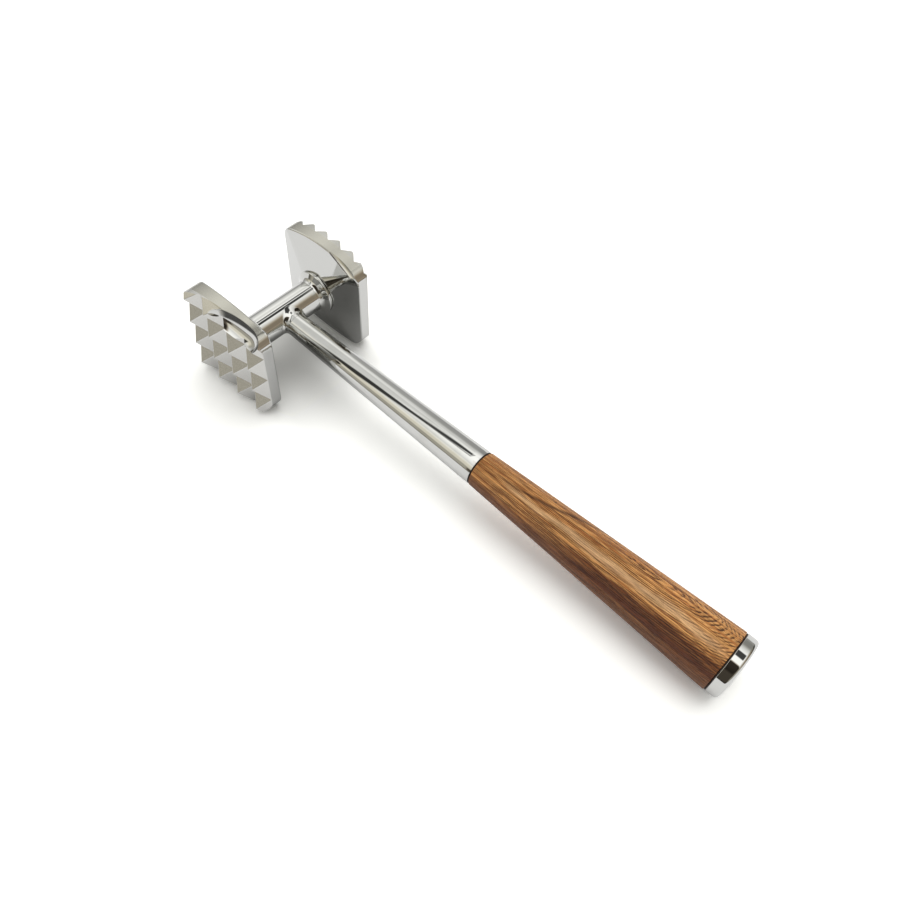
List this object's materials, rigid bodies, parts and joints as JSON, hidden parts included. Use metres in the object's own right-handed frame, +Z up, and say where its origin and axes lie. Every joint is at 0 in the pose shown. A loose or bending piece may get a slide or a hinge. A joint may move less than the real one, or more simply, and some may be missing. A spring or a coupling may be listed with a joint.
{
  "type": "meat mallet",
  "caption": "Kitchen meat mallet: coarse and fine toothed striking faces on a steel crossbar, tapered steel shaft, wooden grip and steel end cap.",
  "frame": {"origin": "centre of the footprint, on the surface that the mallet lies on", "axes": "+X from the head to the end cap, +Y along the crossbar from the coarse face to the fine face, +Z up; the handle tips down by about 3 degrees towards the cap, as it lies in the picture"},
  "size_m": [0.27, 0.0694, 0.0517],
  "materials": {
    "toothed_steel": "polished back and rim, satin teeth",
    "chrome": "mirror polished",
    "inner_steel": "plain machined",
    "seam_fibre": "matt dark fibre washer",
    "grip_wood": "oiled warm brown wood with dark streaked grain"
  },
  "bodies": {
    "root": {"coarse_face_plate": "toothed_steel", "fine_face_plate": "toothed_steel", "coarse_side_flared_collar": "chrome", "fine_side_flared_collar": "chrome", "crossbar_barrel": "chrome", "tapered_shaft": "chrome", "shaft_root_ring": "chrome", "end_cap": "chrome", "crossbar_tie_stud": "inner_steel", "coarse_side_spacer_sleeve": "inner_steel", "fine_side_spacer_sleeve": "inner_steel", "tang_rod": "inner_steel", "grip_flat_washer": "inner_steel", "grip_spring_washer": "inner_steel", "grip_nut": "inner_steel", "shaft_seam_washer": "seam_fibre", "cap_seam_washer": "seam_fibre", "wood_grip": "grip_wood"}
  },
  "joints": []
}
